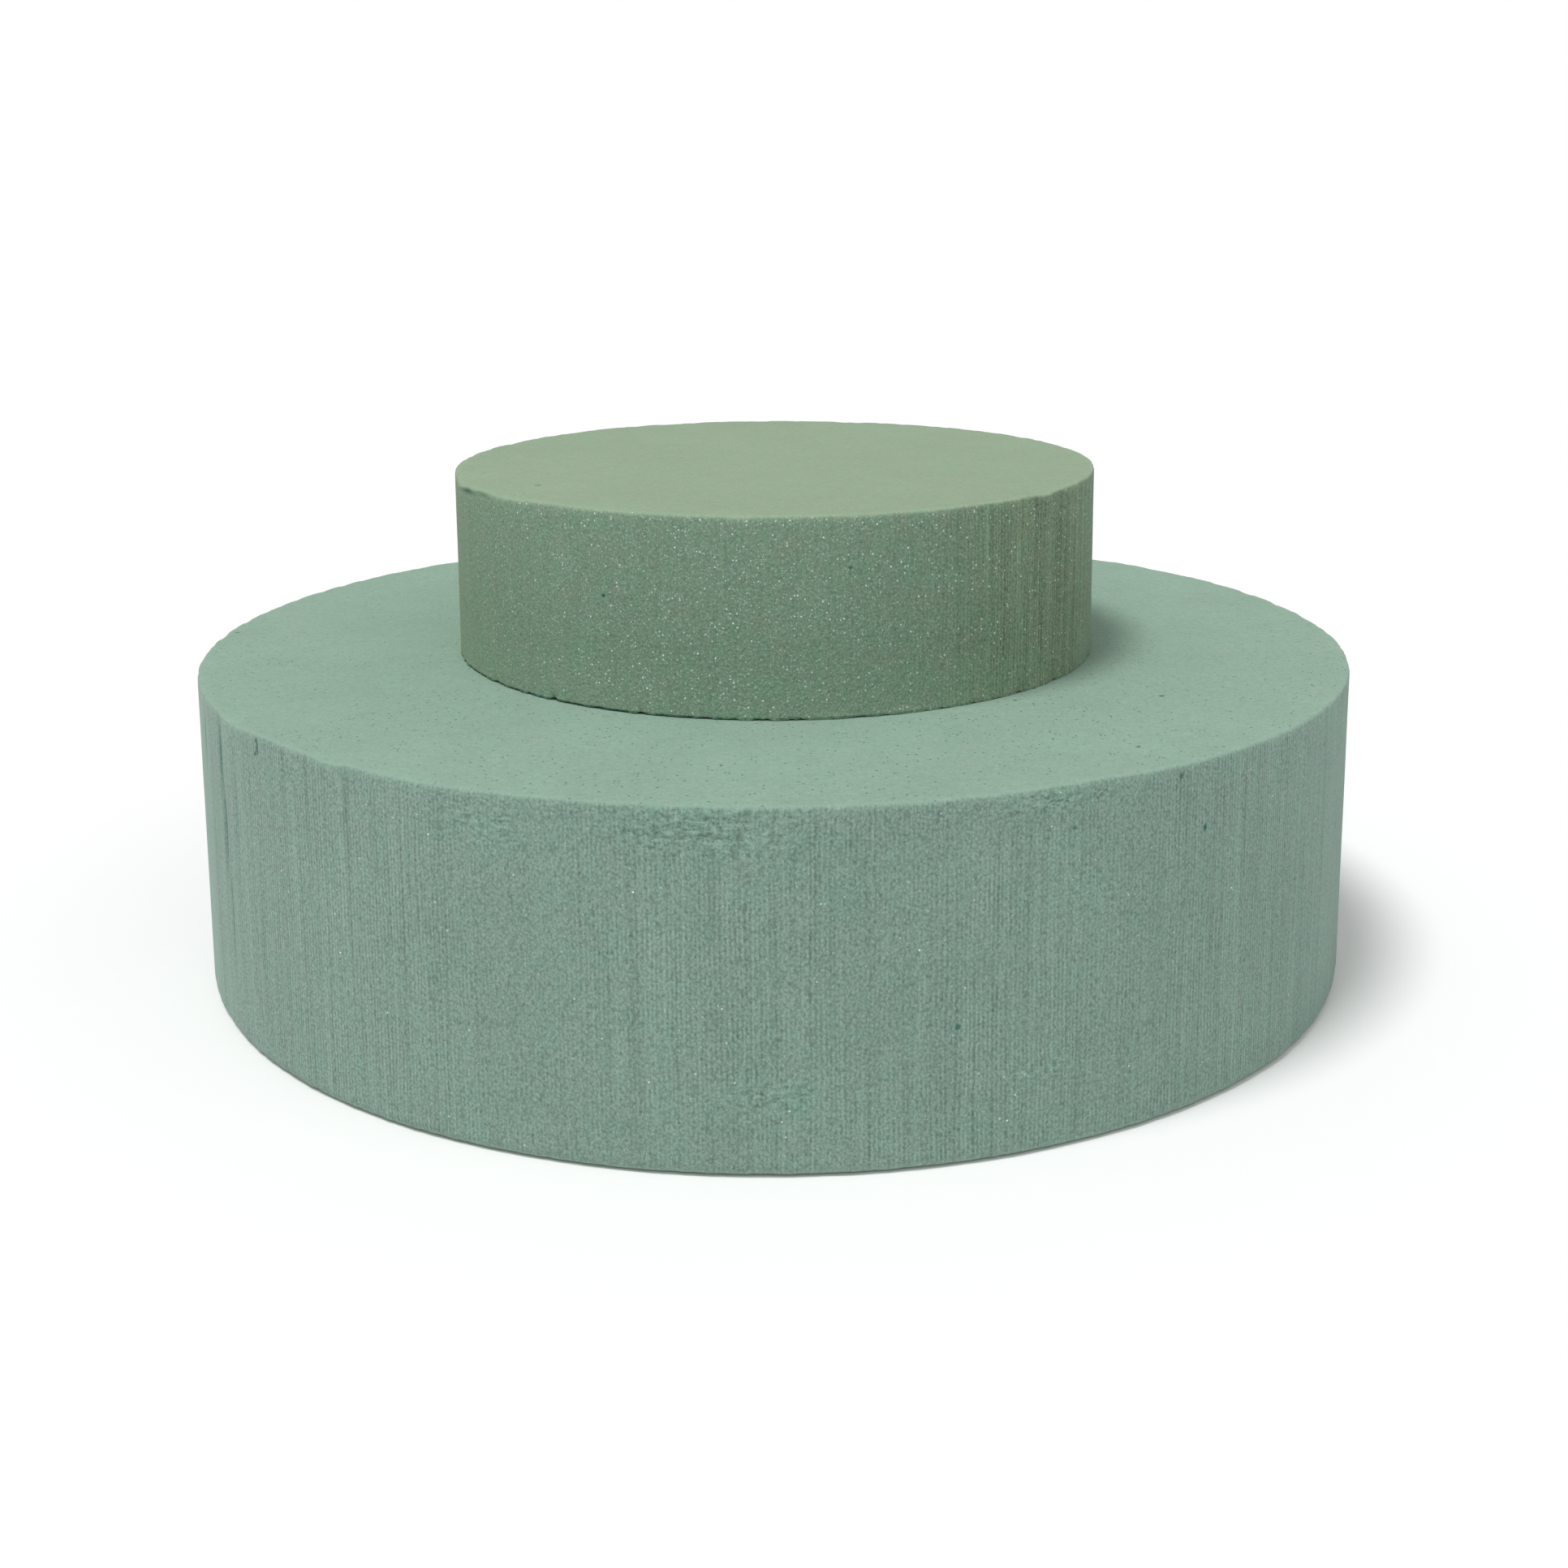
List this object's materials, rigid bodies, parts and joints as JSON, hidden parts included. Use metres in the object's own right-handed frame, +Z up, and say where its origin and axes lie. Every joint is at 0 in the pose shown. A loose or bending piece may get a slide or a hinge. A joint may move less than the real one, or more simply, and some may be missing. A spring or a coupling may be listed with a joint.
{
  "type": "floral foam block",
  "caption": "Round floral foam block: a small flat disc of rigid foam stands loose and centred on a wider, thicker disc.",
  "frame": {"origin": "centre of the lower disc's foot, where the stack stands", "axes": "+Z up along the axis that both discs are turned about; +X and +Y are alike, because the discs are round"},
  "size_m": [0.2966, 0.2966, 0.1264],
  "materials": {
    "lower_foam": "dry open-cell rigid foam, blue-green, dull, with fine cells and a few bright cell walls",
    "upper_foam": "dry open-cell rigid foam, yellow-green, dull, with fine cells and many bright cell walls"
  },
  "bodies": {
    "lower": {"lower_disc": "lower_foam"},
    "upper": {"upper_disc": "upper_foam"}
  },
  "joints": [
    {"name": "upper_disc_lift", "type": "slide", "parent": "lower", "child": "upper", "axis": [0, 0, 1], "range_m": [0, 0.08]}
  ]
}
